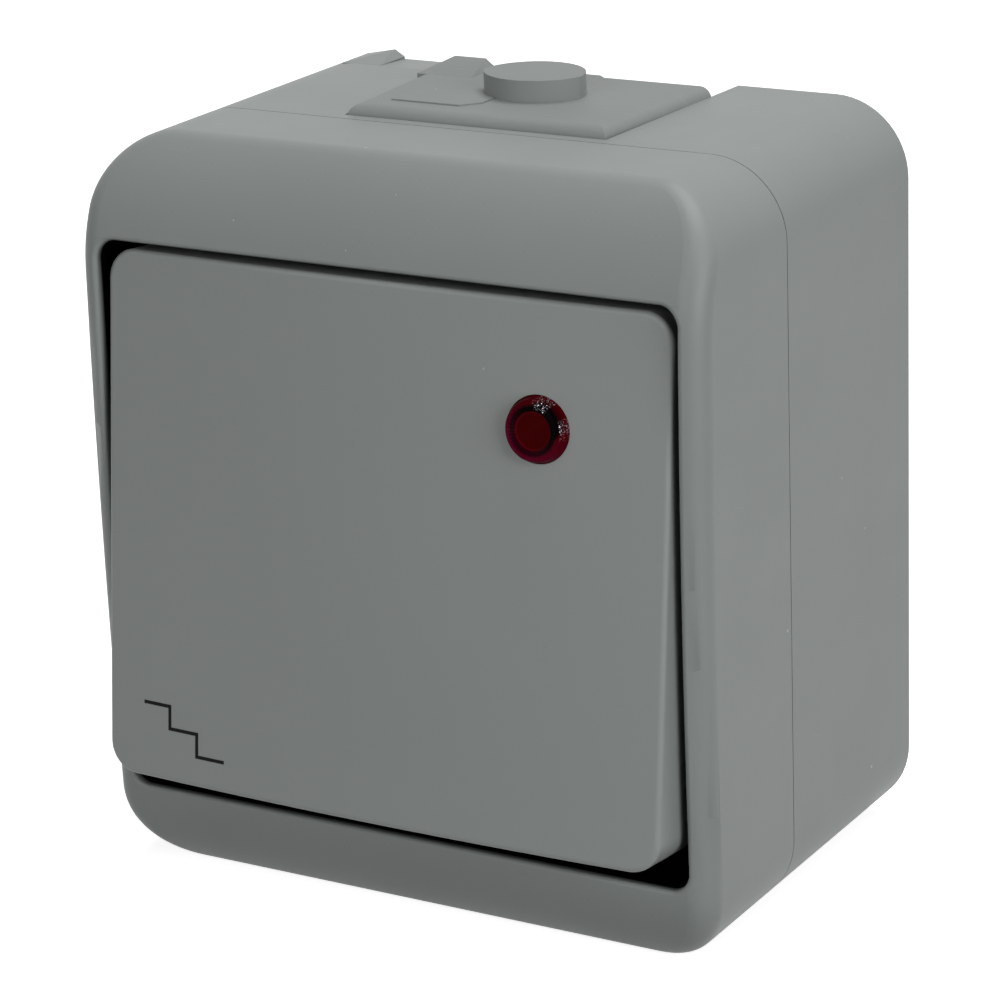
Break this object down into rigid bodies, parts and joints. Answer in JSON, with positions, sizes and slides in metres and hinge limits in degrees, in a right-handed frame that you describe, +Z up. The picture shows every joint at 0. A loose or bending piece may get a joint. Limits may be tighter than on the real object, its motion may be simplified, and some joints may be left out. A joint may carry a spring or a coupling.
{
  "type": "surface mounted light switch",
  "caption": "Surface mounted damp-room light switch: bowed rocker with a red pilot lens in a soft-edged grey casing, cable gland plate on top.",
  "frame": {"origin": "centre of the flat back face that lies on the wall", "axes": "+X to the right seen from the front, +Y from the front into the wall, +Z up"},
  "size_m": [0.066, 0.0486, 0.0759],
  "materials": {
    "casing_grey": "satin moulded grey plastic",
    "rocker_grey": "satin moulded grey plastic",
    "gland_grey": "soft grey elastomer",
    "lens_red": "clear red plastic",
    "cradle_white": "natural low-friction plastic",
    "insert_light": "light grey moulded plastic",
    "insert_dark": "dark moulded insulating plastic",
    "soft_rubber": "soft black rubber",
    "contact_brass": "punched brass strip",
    "clamp_brass": "brass cage",
    "contact_silver": "silver alloy contact tips",
    "spring_steel": "drawn spring wire",
    "screw_steel": "zinc plated steel",
    "lamp_glass": "clear glass bulb",
    "resistor_body": "lacquered ceramic",
    "lead_tin": "tinned wire"
  },
  "bodies": {
    "base": {"base_box": "casing_grey", "front_cover": "casing_grey", "rim_gasket": "soft_rubber", "cable_gland": "gland_grey", "insert_body": "insert_dark", "insert_plate": "insert_light", "insert_seal": "soft_rubber", "upper_strip": "contact_brass", "lower_strip": "contact_brass", "common_strip": "contact_brass", "fixed_tips": "contact_silver", "upper_clamp": "clamp_brass", "lower_clamp": "clamp_brass", "common_clamp": "clamp_brass", "clamp_screws": "screw_steel", "plate_screws": "screw_steel", "insert_screws": "screw_steel", "cover_screws": "screw_steel", "lamp_holder": "insert_light", "neon_lamp": "lamp_glass", "series_resistor": "resistor_body", "lamp_leads": "lead_tin"},
    "rocker": {"rocker_button": "rocker_grey", "indicator_lens": "lens_red", "rocker_cradle": "cradle_white", "plunger_spring": "spring_steel"},
    "plunger": {"plunger": "cradle_white"},
    "seesaw": {"seesaw_contact": "contact_brass", "moving_tips": "contact_silver"}
  },
  "joints": [
    {"name": "rocker_hinge", "type": "hinge", "parent": "base", "child": "rocker", "pos_m": [0, -0.032, -0.00064], "axis": [1, 0, 0], "range_deg": [0, 12.4]},
    {"name": "seesaw_hinge", "type": "hinge", "parent": "base", "child": "seesaw", "pos_m": [0, -0.016, -0.00064], "axis": [1, 0, 0], "range_deg": [-19, 0]},
    {"name": "plunger_slide", "type": "slide", "parent": "rocker", "child": "plunger", "axis": [0, -0.9942, 0.108], "range_m": [0, 0.0012], "stiffness_N_per_m": 100, "deforming": ["plunger_spring"]}
  ],
  "couplings": [
    {"joint": "seesaw_hinge", "follows": "rocker_hinge", "ratio": -1.532}
  ]
}
